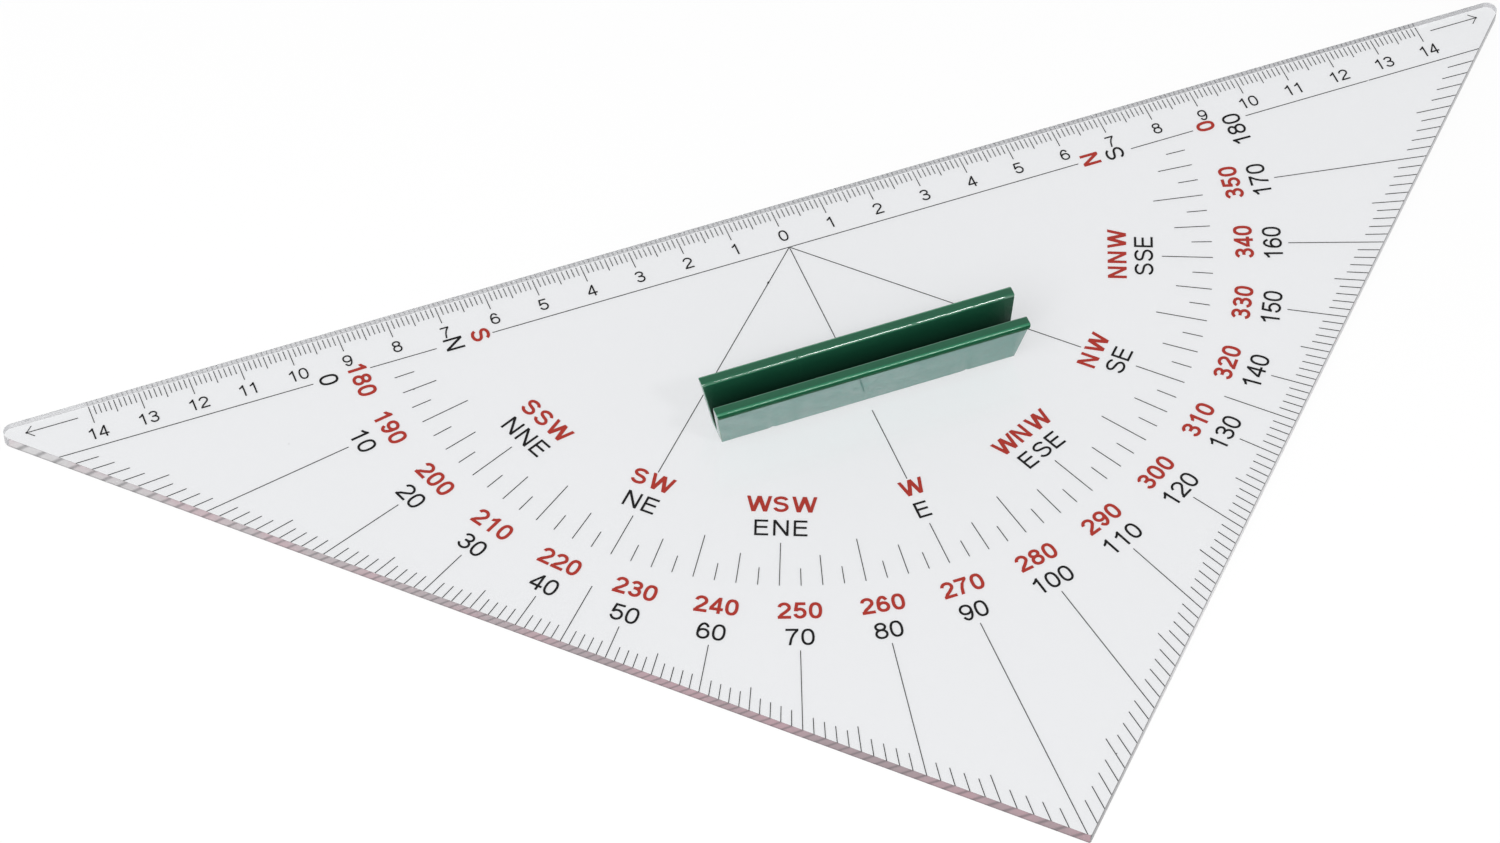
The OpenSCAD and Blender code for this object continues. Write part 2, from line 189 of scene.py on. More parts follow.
def arc(cx, cy, rx, ry, start, end, steps):
    """Points on an ellipse's arc, with its ends, from and to the given angles in degrees."""
    turns = [math.radians(start + (end - start) * i / steps) for i in range(steps + 1)]
    return [(cx + rx * math.cos(t), cy + ry * math.sin(t)) for t in turns]


def oval(cx, cy, rx, ry, sides):
    """Points round a whole ellipse."""
    return arc(cx, cy, rx, ry, 0, 360, sides)[:-1]


def as_part(piece, body, slot, *nodes):
    """Makes a piece stand for the given CAD nodes on a body."""
    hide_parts(*nodes)
    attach(piece, body)


def new_piece(name, mesh, body, slot, *nodes):
    """Puts a finished mesh in the scene as a piece that stands for the given CAD nodes."""
    piece = bpy.data.objects.new(name, mesh)
    bpy.context.scene.collection.objects.link(piece)
    as_part(piece, body, slot, *nodes)


def finished(name, maker, modifiers=()):
    """The plain mesh of a bmesh with the given modifiers applied, sharp where faces turn."""
    raw = bpy.data.meshes.new(name + " raw")
    maker.to_mesh(raw)
    maker.free()
    holder = bpy.data.objects.new(name + " raw", raw)
    bpy.context.scene.collection.objects.link(holder)
    for kind, settings in modifiers:
        modifier = holder.modifiers.new(kind, kind)
        for key, value in settings.items():
            setattr(modifier, key, value)
    depsgraph = bpy.context.evaluated_depsgraph_get()
    mesh = bpy.data.meshes.new_from_object(holder.evaluated_get(depsgraph))
    mesh.name = name
    bpy.data.objects.remove(holder)
    mesh.shade_smooth()
    mesh.set_sharp_from_angle(angle=sharp_from)
    return mesh


def prism(maker, outline, holes, bottom, top):
    """Adds a flat shape with holes to a bmesh as a closed solid between two heights."""
    loops = [outline] + holes
    flat = [p for loop in loops for p in loop]
    lows = [maker.verts.new((x, y, bottom)) for x, y in flat]
    tops = [maker.verts.new((x, y, top)) for x, y in flat]
    for a, b, c in tessellate_polygon([[Vector((x, y, 0)) for x, y in loop] for loop in loops]):
        turn = ((flat[b][0] - flat[a][0]) * (flat[c][1] - flat[a][1])
                - (flat[b][1] - flat[a][1]) * (flat[c][0] - flat[a][0]))
        if turn < 0:
            a, b = b, a
        maker.faces.new((tops[a], tops[b], tops[c]))
        maker.faces.new((lows[c], lows[b], lows[a]))
    first = 0
    for number, loop in enumerate(loops):
        area = sum(p[0] * q[1] - q[0] * p[1] for p, q in zip(loop, loop[1:] + loop[:1]))
        outward = (area > 0) == (number == 0)
        for i in range(len(loop)):
            a, b = first + i, first + (i + 1) % len(loop)
            if not outward:
                a, b = b, a
            maker.faces.new((lows[a], lows[b], tops[b], tops[a]))
        first += len(loop)


outline = (arc(-tip_x, tip_y, tip_r, tip_r, 90, 225, 36)
           + arc(0, low.y + apex_r, apex_r, apex_r, 225, 315, 12)
           + arc(tip_x, tip_y, tip_r, tip_r, -45, 90, 36))
peg_holes = [oval(x, grip_y, hole_r, hole_r, hole_sides) for x in (-peg_x, peg_x)]
maker = bmesh.new()
prism(maker, outline, peg_holes, sheet_bottom, sheet_top)
acrylic_mesh = finished("acrylic_sheet", maker, [
    ("BEVEL", {"width": edge_break, "segments": 1, "limit_method": "ANGLE",
               "angle_limit": broken_from})])

# Cast acrylic: clear and glossy, with hairlines from use that dull the gloss along their length.
# They are too fine to show, so they are drawn about a millimetre wide.
hairline_long = 16.7 * mm
hairline_wide = 1.11 * mm
hairline_turn = 0.6
hairline_dull = 0.06  # added roughness
acrylic_ior = 1.49
let_through = 0.96
# A dark grey that paints the reflected ends of the degree marks and the shade along the edges'
# corners
painted_dark_grey = "#4c4b4f"
# The size and greatest strength of the painted pink reflection of the red print
cast_size = 14.3 * mm
cast_most = 0.45
streak_slant = 0.65
streak_dark, streak_end = 0.04, 0.2  # in degrees from the mark's middle


def clear_plastic(name, rough, clear, code):
    """Clear acrylic that lets lamps and scattered light through, with hairlines that dull it."""
    made = bpy.data.materials.new(name)
    tree = emptied(made)
    place = add(tree, "ShaderNodeTexCoord").outputs["Object"]
    stretch = add(tree, "ShaderNodeMapping", {
        "Vector": place, "Rotation": (0, 0, hairline_turn),
        "Scale": (1 / hairline_long, 1 / hairline_wide, 1 / hairline_wide)})
    hairline = add(tree, "ShaderNodeTexNoise", {"Vector": stretch, "Scale": 1.0, "Detail": 2.0})
    scuff = add(tree, "ShaderNodeMapRange", {
        "Value": hairline, "From Min": 0.55, "From Max": 0.85,
        "To Min": rough, "To Max": rough + hairline_dull})
    glass = add(tree, "ShaderNodeBsdfPrincipled", {
        "Base Color": colour(code), "Roughness": scuff, "IOR": acrylic_ior,
        "Transmission Weight": clear})
    path = add(tree, "ShaderNodeLightPath").outputs
    on_its_way = add(tree, "ShaderNodeMath", [path["Is Shadow Ray"], path["Is Diffuse Ray"]],
                     operation="MAXIMUM")
    passed = add(tree, "ShaderNodeBsdfTransparent", {"Color": [let_through] * 3 + [1]})
    choice = add(tree, "ShaderNodeMixShader", [on_its_way, glass, passed])
    add(tree, "ShaderNodeOutputMaterial", {"Surface": choice})
    return made


def sawn_plastic(name, rough, clear, reach, tones, corner_shade=(), streaks=0.0, cast=None):
    """A sawn edge of the sheet. Its frost follows tones over the reach in x, painted light and
    shade of how the edge is lit, and is greyer at given heights near where its faces end, painted
    shade of the dark lines along its corners. Streaks paints a reflection of the ends of the
    degree marks under the sheet, one a degree, and cast paints a pink reflection of the red print
    in patches that come and go. The first two stops of tones and of the list of heights are at 0
    and 1."""
    made = clear_plastic(name, rough, clear, "#ffffff")
    tree = made.node_tree
    place = add(tree, "ShaderNodeTexCoord").outputs["Object"]
    spot = add(tree, "ShaderNodeSeparateXYZ", [place]).outputs
    ramps = {}
    wanted = [("X", *reach, tones)] + ([("Z", sheet_bottom, sheet_top, corner_shade)] if corner_shade else [])
    for axis, start, end, stops in wanted:
        share = add(tree, "ShaderNodeMapRange", {"Value": spot[axis], "From Min": start,
                                                 "From Max": end})
        ramps[axis] = add(tree, "ShaderNodeValToRGB", {"Fac": share})
        elements = ramps[axis].color_ramp.elements
        for number, (at, code) in enumerate(stops):
            stop = elements[number] if number < 2 else elements.new(at)
            stop.position = at
            stop.color = colour(code) if isinstance(code, str) else (code, code, code, 1)
    layers = []
    # Painted pink reflection of the red print, in patches
    if cast:
        cloud = add(tree, "ShaderNodeTexNoise", {"Vector": place, "Scale": 1 / cast_size,
                                                 "Detail": 1.0})
        patch = add(tree, "ShaderNodeMapRange", {"Value": cloud, "From Min": 0.42,
                                                 "From Max": 0.6, "To Max": cast_most})
        layers.append((patch, cast))
    # Painted reflection of the degree marks' ends, one a degree
    if streaks:
        slide = add(tree, "ShaderNodeMath", [spot["Z"], streak_slant], operation="MULTIPLY")
        along_x = add(tree, "ShaderNodeMath", [spot["X"], slide], operation="SUBTRACT")
        along_y = add(tree, "ShaderNodeMath", [spot["Y"], slide], operation="ADD")
        turn = add(tree, "ShaderNodeMath", [along_y, along_x], operation="ARCTAN2")
        bearing = add(tree, "ShaderNodeMath", [turn, 180 / math.pi], operation="MULTIPLY")
        off = add(tree, "ShaderNodeMath", [bearing, 0.5], operation="PINGPONG")
        line = add(tree, "ShaderNodeMapRange", {
            "Value": off, "From Min": streak_dark, "From Max": streak_end,
            "To Min": streaks, "To Max": 0.0})
        layers.append((line, painted_dark_grey))
    # Painted shade along the corners, greyer at the given heights
    if corner_shade:
        layers.append((ramps["Z"], painted_dark_grey))
    tone = ramps["X"].outputs[0]
    for share, code in layers:
        tone = add(tree, "ShaderNodeMix", {"Factor": share, "A": tone, "B": colour(code)},
                   data_type="RGBA").outputs[2]
    for node in tree.nodes:
        if node.bl_idname == "ShaderNodeBsdfPrincipled":
            tree.links.new(tone, node.inputs["Base Color"])
    return made


polished, left_edge, right_edge, ruler_edge, broken_edge, round_tip = range(6)
# The tones below are painted light and shade of how each edge is lit: the left edge faces the wide
# softbox and is painted pale, greying and turning pink towards the apex; the right edge is painted
# dark with a bright band and is dark along its upper part; the ruler edge and the broken corners
# are painted darker towards the right; the rounded tips are painted grey.
for material in (
        clear_plastic("clear cast acrylic, polished face", 0.0, 1.0, "#f5f6f8"),
        sawn_plastic("clear cast acrylic, sawn left edge", 0.3, 0.12, (-tip_x, 0),
                     [(0.0, "#cfcecf"), (1.0, "#9f8d92"), (0.3, "#b3aaad"), (0.65, "#a18f94")],
                     [(0.0, 0.6), (1.0, 0.3), (0.1, 0.35), (0.22, 0.0), (0.9, 0.0)],
                     streaks=0.55, cast="#c49aa4"),
        sawn_plastic("clear cast acrylic, sawn right edge", 0.3, 0.15, (0, tip_x),
                     [(0.0, "#8e8e90"), (1.0, "#b4b4b6"), (0.25, "#f4f4f6")],
                     [(0.0, 0.0), (1.0, 0.9), (0.55, 0.0), (0.72, 0.85)]),
        sawn_plastic("clear cast acrylic, buffed ruler edge", 0.22, 0.42, (-tip_x, tip_x),
                     [(0.0, "#d6d6d8"), (1.0, "#949498")],
                     [(0.0, 0.45), (1.0, 0.5), (0.14, 0.0), (0.8, 0.0)]),
        sawn_plastic("clear cast acrylic, broken corner", 0.12, 0.4, (-tip_x, tip_x),
                     [(0.0, "#a9a8aa"), (1.0, "#6c6b6f"), (0.5, "#6c6b6f")]),
        clear_plastic("clear cast acrylic, rounded tip", 0.1, 0.35, "#bcbbbf")):
    acrylic_mesh.materials.append(material)
for face in acrylic_mesh.polygons:
    n = face.normal
    if abs(n.z) > 0.9:
        face.material_index = polished
    elif abs(n.z) > 0.3:
        face.material_index = broken_edge
    elif n.y > 0.99:
        face.material_index = ruler_edge
    elif face.center.y < 0:
        face.material_index = left_edge if n.x < 0 else right_edge
    else:
        face.material_index = round_tip
new_piece("acrylic_sheet", acrylic_mesh, "triangle", "clear_acrylic", "plate")


# The scale marks. Fine black lines screen printed on the underside: the centimetre scale along
# the ruler edge, the compass ring in quarter points, and the degree marks that end at the legs.

line_w = 0.16 * mm
rim = 0.2 * mm
print_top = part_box("base_line")[1].z
cm_count = 14
rose_r = 83 * mm
rose_long = 10 * mm
quarter_point = 90 / 32
deg_line_r = 98 * mm
grain = 0.286 * mm


def ink(name, code, mottle):
    """A printed ink: a dull film, whose colour and gloss vary by the grain of the screen."""
    made = bpy.data.materials.new(name)
    tree = emptied(made)
    place = add(tree, "ShaderNodeTexCoord").outputs["Object"]
    speckle = add(tree, "ShaderNodeTexNoise", {"Vector": place, "Scale": 1 / grain, "Detail": 3.0})
    full = colour(code)
    thin = [c + (1 - c) * mottle for c in full[:3]] + [1]
    shade = add(tree, "ShaderNodeMix", {"Factor": speckle, "A": full, "B": thin},
                data_type="RGBA").outputs[2]
    gloss = add(tree, "ShaderNodeMapRange", {"Value": speckle, "To Min": 0.45, "To Max": 0.65})
    film = add(tree, "ShaderNodeBsdfPrincipled", {
        "Base Color": shade, "Roughness": gloss, "Specular IOR Level": 0.05})
    add(tree, "ShaderNodeOutputMaterial", {"Surface": film})
    return made


black = (ink("black screen ink, matt", "#0e0e0f", 0.01), "black_print")


def by_step(tree, number, value, *steps):
    """The value, or where number is a whole multiple of a step, the last such step's own value."""
    for step, own in steps:
        rest = add(tree, "ShaderNodeMath", [number, step], operation="MODULO")
        whole = add(tree, "ShaderNodeMath", [rest, 0.0, 0.1], operation="COMPARE")
        value = add(tree, "GeometryNodeSwitch", {"Switch": whole, "False": value, "True": own},
                    input_type="FLOAT")
    return value


def numbered_turn(tree, given, index):
    """A mark's number, counted from 1, and its bearing."""
    number = add(tree, "ShaderNodeMath", [index, 1.0], operation="ADD")
    return number, add(tree, "ShaderNodeMath", [number, given["Step"]], operation="MULTIPLY")


def on_bearing(tree, radius, turn):
    """The point at a radius from the centre and a bearing, which is counted from the left."""
    left = add(tree, "ShaderNodeMath", [radius, -1.0], operation="MULTIPLY")
    return add(tree, "ShaderNodeVectorRotate", {
        "Vector": add(tree, "ShaderNodeCombineXYZ", [left]), "Angle": turn},
        rotation_type="Z_AXIS")


def marks(name, sizes, rule, *nodes):
    """Bars made by a Geometry Nodes tree. Its rule gives each one's outer end, turn and length."""
    material, slot = black
    tree = bpy.data.node_groups.new(name, "GeometryNodeTree")
    sizes = {"Line width": line_w, "Ink thickness": print_top, **sizes}
    sockets = {}
    for key, value in sizes.items():
        kind = "NodeSocketInt" if isinstance(value, int) else "NodeSocketFloat"
        socket = tree.interface.new_socket(key, in_out="INPUT", socket_type=kind)
        sockets[key] = socket.identifier
    tree.interface.new_socket("Marks", in_out="OUTPUT", socket_type="NodeSocketGeometry")
    given = add(tree, "NodeGroupInput").outputs
    outer_end, turn, length = rule(tree, given, add(tree, "GeometryNodeInputIndex"))
    points = add(tree, "GeometryNodePoints", {"Count": given["Count"], "Position": outer_end})
    cube = add(tree, "GeometryNodeMeshCube", {"Size": (1, 1, 1)})
    inward = add(tree, "GeometryNodeTransform", {"Geometry": cube, "Translation": (0.5, 0, 0.5)})
    facing = add(tree, "ShaderNodeCombineXYZ", {"Z": turn})
    size = add(tree, "ShaderNodeCombineXYZ", [length, given["Line width"],
                                              given["Ink thickness"]])
    bars = add(tree, "GeometryNodeInstanceOnPoints", {
        "Points": points, "Instance": inward, "Rotation": facing, "Scale": size})
    real = add(tree, "GeometryNodeRealizeInstances", [bars])
    inked = add(tree, "GeometryNodeSetMaterial", {"Geometry": real, "Material": material})
    add(tree, "NodeGroupOutput", [inked])
    piece = bpy.data.objects.new(name, bpy.data.meshes.new(name + " start"))
    bpy.context.scene.collection.objects.link(piece)
    modifier = piece.modifiers.new(name, "NODES")
    modifier.node_group = tree
    for key, value in sizes.items():
        modifier[sockets[key]] = value
    depsgraph = bpy.context.evaluated_depsgraph_get()
    mesh = bpy.data.meshes.new_from_object(piece.evaluated_get(depsgraph))
    piece.modifiers.clear()
    piece.data = mesh
    as_part(piece, "triangle", slot, *nodes)


def centimetre_rule(tree, given, index):
    number = add(tree, "ShaderNodeMath", [index, given["Marks each side"]], operation="SUBTRACT")
    x = add(tree, "ShaderNodeMath", [number, given["Pitch"]], operation="MULTIPLY")
    outer_end = add(tree, "ShaderNodeCombineXYZ", [x, given["Outer end"]])
    length = by_step(tree, index, given["Short"], (5.0, given["Middle"]), (10.0, given["Long"]))
    return outer_end, -math.pi / 2, length


def compass_rule(tree, given, index):
    number, turn = numbered_turn(tree, given, index)
    length = by_step(tree, number, given["Short"], (2.0, given["Middle"]), (4.0, given["Long"]))
    return on_bearing(tree, given["Radius"], turn), turn, length


def degree_rule(tree, given, index):
    number, turn = numbered_turn(tree, given, index)
    cosine = add(tree, "ShaderNodeMath", [turn], operation="COSINE")
    sideways = add(tree, "ShaderNodeMath", [cosine], operation="ABSOLUTE")
    down = add(tree, "ShaderNodeMath", [turn], operation="SINE")
    across = add(tree, "ShaderNodeMath", [sideways, down], operation="ADD")
    radii = []
    for depth in ("Rim", "One degree depth", "Five degree depth"):
        inset = add(tree, "ShaderNodeMath", [given[depth], math.sqrt(2)], operation="MULTIPLY")
        rest = add(tree, "ShaderNodeMath", [given["Leg"], inset], operation="SUBTRACT")
        radii.append(add(tree, "ShaderNodeMath", [rest, across], operation="DIVIDE"))
    outer, one, five = radii
    inner = by_step(tree, number, one, (5.0, five), (45.0, given["Half right radius"]),
                    (10.0, given["Ten degree radius"]))
    length = add(tree, "ShaderNodeMath", [outer, inner], operation="SUBTRACT")
    return on_bearing(tree, outer, turn), turn, length


marks("centimetre_scale", {
    "Count": 20 * cm_count + 1, "Marks each side": 10 * cm_count, "Pitch": 1 * mm,
    "Outer end": edge_y - rim, "Short": 2.2 * mm, "Middle": 3 * mm, "Long": 4.1 * mm},
    centimetre_rule, "centimetre_marks")
marks("compass_ring", {
    "Count": round(180 / quarter_point) - 1, "Step": math.radians(quarter_point),
    "Radius": rose_r, "Short": 4 * mm, "Middle": 7 * mm, "Long": rose_long},
    compass_rule, "compass_marks")
marks("degree_scale", {
    "Count": 179, "Step": math.radians(1), "Leg": leg, "Rim": rim,
    "One degree depth": 4.2 * mm, "Five degree depth": 5.8 * mm,
    "Ten degree radius": deg_line_r, "Half right radius": 91.2 * mm},
    degree_rule, "degree_marks", "ten_degree_lines")


# The drawn lines. The base line through the centre, broken where it passes the lettering, the
# 45, 90 and 135 degree lines from the centre to the letters, and an arrow at each end of the
# scale, all in the marks' black ink. Seven small blots of it lie near them.

base_end = leg - rim * math.sqrt(2)
rose_stop_r = 61.6 * mm
deg_stop_r = 86.5 * mm
skip_x = 125 * mm
skip_half = 0.1 * mm
fan_start = 1.3 * line_w
foot_room = 4.45 * mm
arrow_y = edge_y - 2.1 * mm
arrow_tail = 142.6 * mm
arrow_tip = 152.8 * mm
barb = 1.3 * mm
dot_r = 0.22 * mm
blot_sides = 12
# Each blot's place and its two half widths, which lie aslant at 45 degrees, in mm
blots = [(-7.11, -7.02, 0.2, 0.34), (81.65, -12.06, 0.1, 0.14), (-80.35, -8.05, 0.09, 0.12),
         (11.94, -134.1, 0.1, 0.12), (35.1, -113.97, 0.09, 0.13), (-18.1, -128.91, 0.1, 0.1),
         (-106.89, -12.33, 0.06, 0.08)]


def polar(r, angle):
    """A point at a bearing: 0 on the left, 90 at the right-angled corner, 180 on the right."""
    return (-r * math.cos(math.radians(angle)), -r * math.sin(math.radians(angle)))


def bar(start, end):
    """The outline of a straight line."""
    along = Vector(end) - Vector(start)
    side = Vector((-along.y, along.x)).normalized() * line_w / 2
    return [tuple(Vector(p) + s)
            for p, s in ((start, -side), (end, -side), (end, side), (start, side))]


def inside(point, loop):
    """True for a point within a closed outline."""
    x, y = point
    hit = False
    for (ax, ay), (bx, by) in zip(loop, loop[1:] + loop[:1]):
        if (ay > y) != (by > y) and x < ax + (bx - ax) * (y - ay) / (by - ay):
            hit = not hit
    return hit


def joined(shapes):
    """Overlapping flat shapes, each an outline and its holes, as the corners and triangles of one
    film."""
    corners, edges = [], []
    for outer, holes in shapes:
        for loop in [outer] + holes:
            first = len(corners)
            corners += [Vector(p) for p in loop]
            edges += [(first + i, first + (i + 1) % len(loop)) for i in range(len(loop))]
    made = delaunay_2d_cdt(corners, edges, [], 0, 1e-6)
    kept = []
    for triangle in made[2]:
        a, b, c = [made[0][i] for i in triangle]
        centre = (a + b + c) / 3
        if any(inside(centre, outer) and not any(inside(centre, h) for h in holes)
               for outer, holes in shapes):
            right_way = (b - a).cross(c - a) > 0
            kept.append(tuple(triangle) if right_way else tuple(triangle)[::-1])
    used = sorted({i for t in kept for i in t})
    number = {i: n for n, i in enumerate(used)}
    return [tuple(made[0][i]) for i in used], [tuple(number[i] for i in t) for t in kept]


def printed(name, films, print_ink, *nodes):
    """Films of ink on the sheet's underside as one piece. Each is given as the corners and
    triangles of a flat shape, and made a closed solid."""
    maker = bmesh.new()
    for corners, triangles in films:
        lows = [maker.verts.new((x, y, 0)) for x, y in corners]
        tops = [maker.verts.new((x, y, print_top)) for x, y in corners]
        directed = {(t[i], t[(i + 1) % 3]) for t in triangles for i in range(3)}
        for a, b, c in triangles:
            maker.faces.new((tops[a], tops[b], tops[c]))
            maker.faces.new((lows[c], lows[b], lows[a]))
        for a, b in sorted(directed):
            if (b, a) not in directed:
                maker.faces.new((lows[a], lows[b], tops[b], tops[a]))
    mesh = bpy.data.meshes.new(name)
    maker.to_mesh(mesh)
    maker.free()
    material, slot = print_ink
    mesh.materials.append(material)
    new_piece(name, mesh, "triangle", slot, *nodes)


drawn = [bar((-rose_stop_r, 0), (rose_stop_r, 0))]
for s in (-1, 1):
    drawn.append(bar((s * (rose_r - rose_long), 0), (s * deg_stop_r, 0)))
drawn.append(bar((-deg_line_r, 0), (-base_end, 0)))
drawn.append(bar((deg_line_r, 0), (skip_x - skip_half, 0)))
drawn.append(bar((skip_x + skip_half, 0), (base_end, 0)))
chance = random.Random(7)
for x, y, rx, ry in blots:
    blot = [(px * (1 + chance.uniform(-0.2, 0.2)), py * (1 + chance.uniform(-0.2, 0.2)))
            for px, py in oval(0, 0, rx * mm, ry * mm, blot_sides)]
    drawn.append([(x * mm + (px + py) * math.sqrt(0.5), y * mm + (py - px) * math.sqrt(0.5))
                  for px, py in blot])
printed("base_line_print", [joined([(b, [])]) for b in drawn], black, "base_line")

drawn = [bar(polar(fan_start, a), polar(rose_stop_r, a)) for a in (45, 135)]
drawn.append(bar((0, -line_w), (0, grip_y + foot_room)))
drawn.append(bar((0, grip_y - foot_room), (0, -rose_stop_r)))
printed("bearing_print", [joined([(b, [])]) for b in drawn], black, "bearing_lines")

arrows = []
for s in (-1, 1):
    tip = (s * arrow_tip, arrow_y)
    strokes = [bar((s * arrow_tail, arrow_y), tip)]
    strokes += [bar((s * (arrow_tip - barb), arrow_y + t * barb), tip) for t in (-1, 1)]
    strokes.append(oval(*tip, dot_r, dot_r, blot_sides))
    arrows.append(joined([(stroke, []) for stroke in strokes]))
printed("arrow_print", arrows, black, "end_arrows")


# The lettering. Upright black and bold red grotesque figures and compass letters, screen printed
# with the lines, the red ones in a second pass that lies a little aside. Every sign is built here
# from strokes of one pen, one unit high.

digit_w = 0.665
digit_step = 0.775
letter_w = {"N": 0.79, "E": 0.715, "S": 0.79, "W": 1.286}
letter_step = {"N": 1.04, "E": 0.96, "S": 0.96, "W": 1.35}
pen_thin = 0.125
pen_bold = 0.172
pen_cm = 0.93 * pen_thin
figure_high = 3.75 * mm
letter_high = 3.7 * mm
cm_high = 2.75 * mm
cm_foot_y = 1.8 * mm
black_letter_r = 71.3 * mm
red_letter_r = 66 * mm
black_figure_r = 96.75 * mm
red_figure_r = 91 * mm
end_turn = 1.6  # degrees that a three-figure number at the base line is moved clear of it
red_slip = (0.2 * mm, 0.3 * mm)
red = (ink("red screen ink, matt", "#bc382c", 0.01), "red_print")


def side_of(path, d):
    """A path's offset to one side, with mitred corners."""
    out = []
    for i, here in enumerate(path):
        before = Vector(path[max(i, 1)]) - Vector(path[max(i, 1) - 1])
        after = Vector(path[min(i + 1, len(path) - 1)]) - Vector(path[min(i, len(path) - 2)])
        u, v = before.normalized(), after.normalized()
        mitre = (Vector((-u.y - v.y, u.x + v.x))).normalized()
        out.append(tuple(Vector(here) + mitre * d / mitre.dot(Vector((-u.y, u.x)))))
    return out


def pen_line(path, pen):
    """The outline of an open path drawn with a pen."""
    return (side_of(path, pen / 2) + side_of(path, -pen / 2)[::-1], [])


def round_box(cx, cy, rx, ry, square, steps=28):
    """A closed curve between an ellipse (square 2) and a rectangle (more)."""
    out = []
    for i in range(steps):
        t = 2 * math.pi * i / steps
        c, s = math.cos(t), math.sin(t)
        out.append((cx + rx * math.copysign(abs(c) ** (2 / square), c),
                    cy + ry * math.copysign(abs(s) ** (2 / square), s)))
    return out


def ring(cx, cy, rx, ry, pen, square):
    """A closed stroke with its hole, through the middle of the pen."""
    return (round_box(cx, cy, rx + pen / 2, ry + pen / 2, square),
            [round_box(cx, cy, rx - pen / 2, ry - pen / 2, square)])


def turned(shapes, width):
    """A figure turned upside down in its box."""
    return [([(width - x, 1 - y) for x, y in outer],
             [[(width - x, 1 - y) for x, y in h] for h in holes]) for outer, holes in shapes]


def figure(sign, p):
    """The outlines of one sign, one unit high, drawn with a pen of width p."""
    w, r, mid = digit_w, (digit_w - p) / 2, digit_w / 2
    if sign == "0":
        return [ring(mid, 0.5, r, (1 - p) / 2, p, 2.35)]
    if sign == "1":
        return [([(0.40 - p / 2, 0), (0.40 + p / 2, 0), (0.40 + p / 2, 1), (0.40 - p * 0.28, 1),
                  (0.36 - p / 2, 0.92), (0.25 - p / 3, 0.85), (0.11, 0.81), (0.11, 0.81 - p),
                  (0.24, 0.85 - p), (0.40 - p / 2, 0.91 - p)], [])]
    if sign == "2":
        top = arc(mid, 0.70 - p * 0.1, r, 0.30 - p * 0.4, 172, -28, 20)
        return [([(0, 0), (w, 0), (w, p), (0, p)], []),
                pen_line(top + [(mid + 0.05, 0.40), (0.19, 0.245), (p * 0.68, p * 0.72)], p)]
    if sign == "3":
        m = 0.535
        upper = arc(mid - 0.01, (1 - p / 2 + m) / 2, r * 0.92, (1 - p / 2 - m) / 2, 165, -95, 20)
        lower = arc(mid, (m + p / 2) / 2, r, (m - p / 2) / 2, 95, -168, 20)
        return [pen_line(upper, p), pen_line(lower, p),
                ([(mid - 0.12, m - p / 2), (mid, m - p / 2), (mid, m + p / 2),
                  (mid - 0.12, m + p / 2)], [])]
    if sign == "4":
        x, y, h = 0.475, 0.275, p / 2
        return [([(x - h, 0), (x + h, 0), (x + h, y - h), (w + 0.02, y - h), (w + 0.02, y + h),
                  (x + h, y + h), (x + h, 1), (x - h * 0.9, 1), (0, y + h * 1.1), (0, y - h),
                  (x - h, y - h)],
                 [[(x - h, y + h), (x - h, 1 - p * 1.75), (p * 1.18, y + h)]])]
    if sign == "5":
        flag = [(w - 0.05, 1 - p / 2), (p * 0.62 + 0.075, 1 - p / 2), (p * 0.55 + 0.02, 0.455)]
        return [pen_line(flag, p),
                pen_line(arc(mid, 0.335, r, 0.335 - p / 2, 142, -168, 24), p)]
    if sign == "6":
        return [ring(mid, 0.325, r, 0.325 - p / 2, p, 2.1),
                pen_line(arc(mid + 0.005, 0.42, r + 0.002, 0.58 - p / 2, 182, 38, 22), p)]
    if sign == "7":
        return [([(0, 1), (w - 0.02, 1), (w - 0.02, 1 - p * 0.9), (0.45, 0.64), (0.34, 0.38),
                  (0.27, 0), (0.27 - p * 1.03, 0), (0.34 - p * 0.98, 0.38), (0.44 - p * 0.9, 0.66),
                  (0.55 - p * 0.55, 1 - p), (0, 1 - p)], [])]
    if sign == "8":
        m = 0.545
        return [ring(mid, (1 - p / 2 + m) / 2, r * 0.88, (1 - p / 2 - m) / 2, p, 2.0),
                ring(mid, (m + p / 2) / 2, r, (m - p / 2) / 2, p, 2.1)]
    if sign == "9":
        return turned(figure("6", p), w)
    if sign == "N":
        n = letter_w["N"]
        return [([(0, 0), (p, 0), (p, 1 - p * 1.75), (n - p * 1.12, 0), (n, 0), (n, 1), (n - p, 1),
                  (n - p, p * 1.75), (p * 1.12, 1), (0, 1)], [])]
    if sign == "E":
        e, m = letter_w["E"], 0.535
        return [([(0, 0), (e, 0), (e, p), (p, p), (p, m - p / 2), (e - 0.05, m - p / 2),
                  (e - 0.05, m + p / 2), (p, m + p / 2), (p, 1 - p), (e - 0.02, 1 - p),
                  (e - 0.02, 1), (0, 1)], [])]
    if sign == "S":
        s, m = letter_w["S"], 0.53
        half = (s - p) / 2
        upper = arc(s / 2, (1 - p / 2 + m) / 2, half * 0.95, (1 - p / 2 - m) / 2, 14, 235, 22)
        lower = arc(s / 2, (m + p / 2) / 2 - 0.005, half, (m - p / 2) / 2, 58, -170, 24)
        return [pen_line(upper + lower, p)]
    k, full = p * 0.6, letter_w["W"]
    mid, near, far = full / 2, 0.345, 0.941
    return [([(0, 1), (p * 1.07, 1), (near, p * 2.1), (mid - k, 1), (mid + k, 1), (far, p * 2.1),
              (full - p * 1.07, 1), (full, 1), (far + k, 0), (far - k, 0), (mid, 1 - p * 2.3),
              (near + k, 0), (near - k, 0)], [])]


films_of_signs = {}


